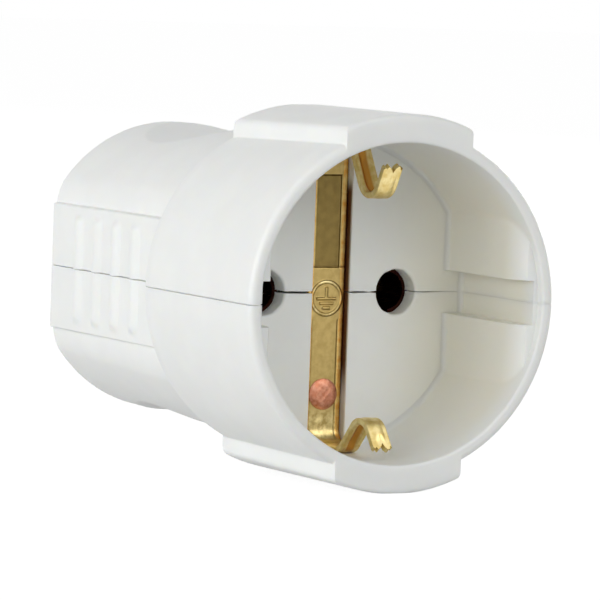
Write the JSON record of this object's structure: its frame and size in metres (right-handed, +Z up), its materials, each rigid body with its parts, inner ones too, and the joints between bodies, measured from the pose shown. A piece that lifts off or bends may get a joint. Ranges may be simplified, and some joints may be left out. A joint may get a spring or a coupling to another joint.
{
  "type": "inline socket connector",
  "caption": "White two-half housing with a round recessed mouth, pin sleeves, sprung earth strip, side grips and a rear cord outlet.",
  "frame": {"origin": "on the resting surface, under the middle of the part's length and width", "axes": "+Y from the mouth to the cord outlet, +X across the two pin sleeves, +Z up from the lower grip pad"},
  "size_m": [0.0432, 0.066, 0.0469],
  "materials": {
    "housing": "white moulded plastic with a soft satin sheen",
    "brass": "stamped bare brass with faint rolling lines",
    "copper": "hammered bare copper",
    "spring_steel": "spring steel",
    "screw_steel": "zinc plated steel",
    "clamp_plastic": "plain off-white moulded plastic"
  },
  "bodies": {
    "root": {"upper_shell": "housing", "lower_shell": "housing", "earth_strip": "brass", "earth_rivet": "copper", "earth_tab": "brass", "earth_terminal_block": "brass", "earth_terminal_screw": "screw_steel", "contact_sleeve_left": "brass", "contact_sleeve_right": "brass", "contact_spring_left": "spring_steel", "contact_spring_right": "spring_steel", "terminal_block_left": "brass", "terminal_block_right": "brass", "terminal_screw_left": "screw_steel", "terminal_screw_right": "screw_steel", "cord_clamp": "clamp_plastic", "clamp_screw_left": "screw_steel", "clamp_screw_right": "screw_steel", "housing_screw_front": "screw_steel", "housing_screw_rear_right": "screw_steel"}
  },
  "joints": []
}
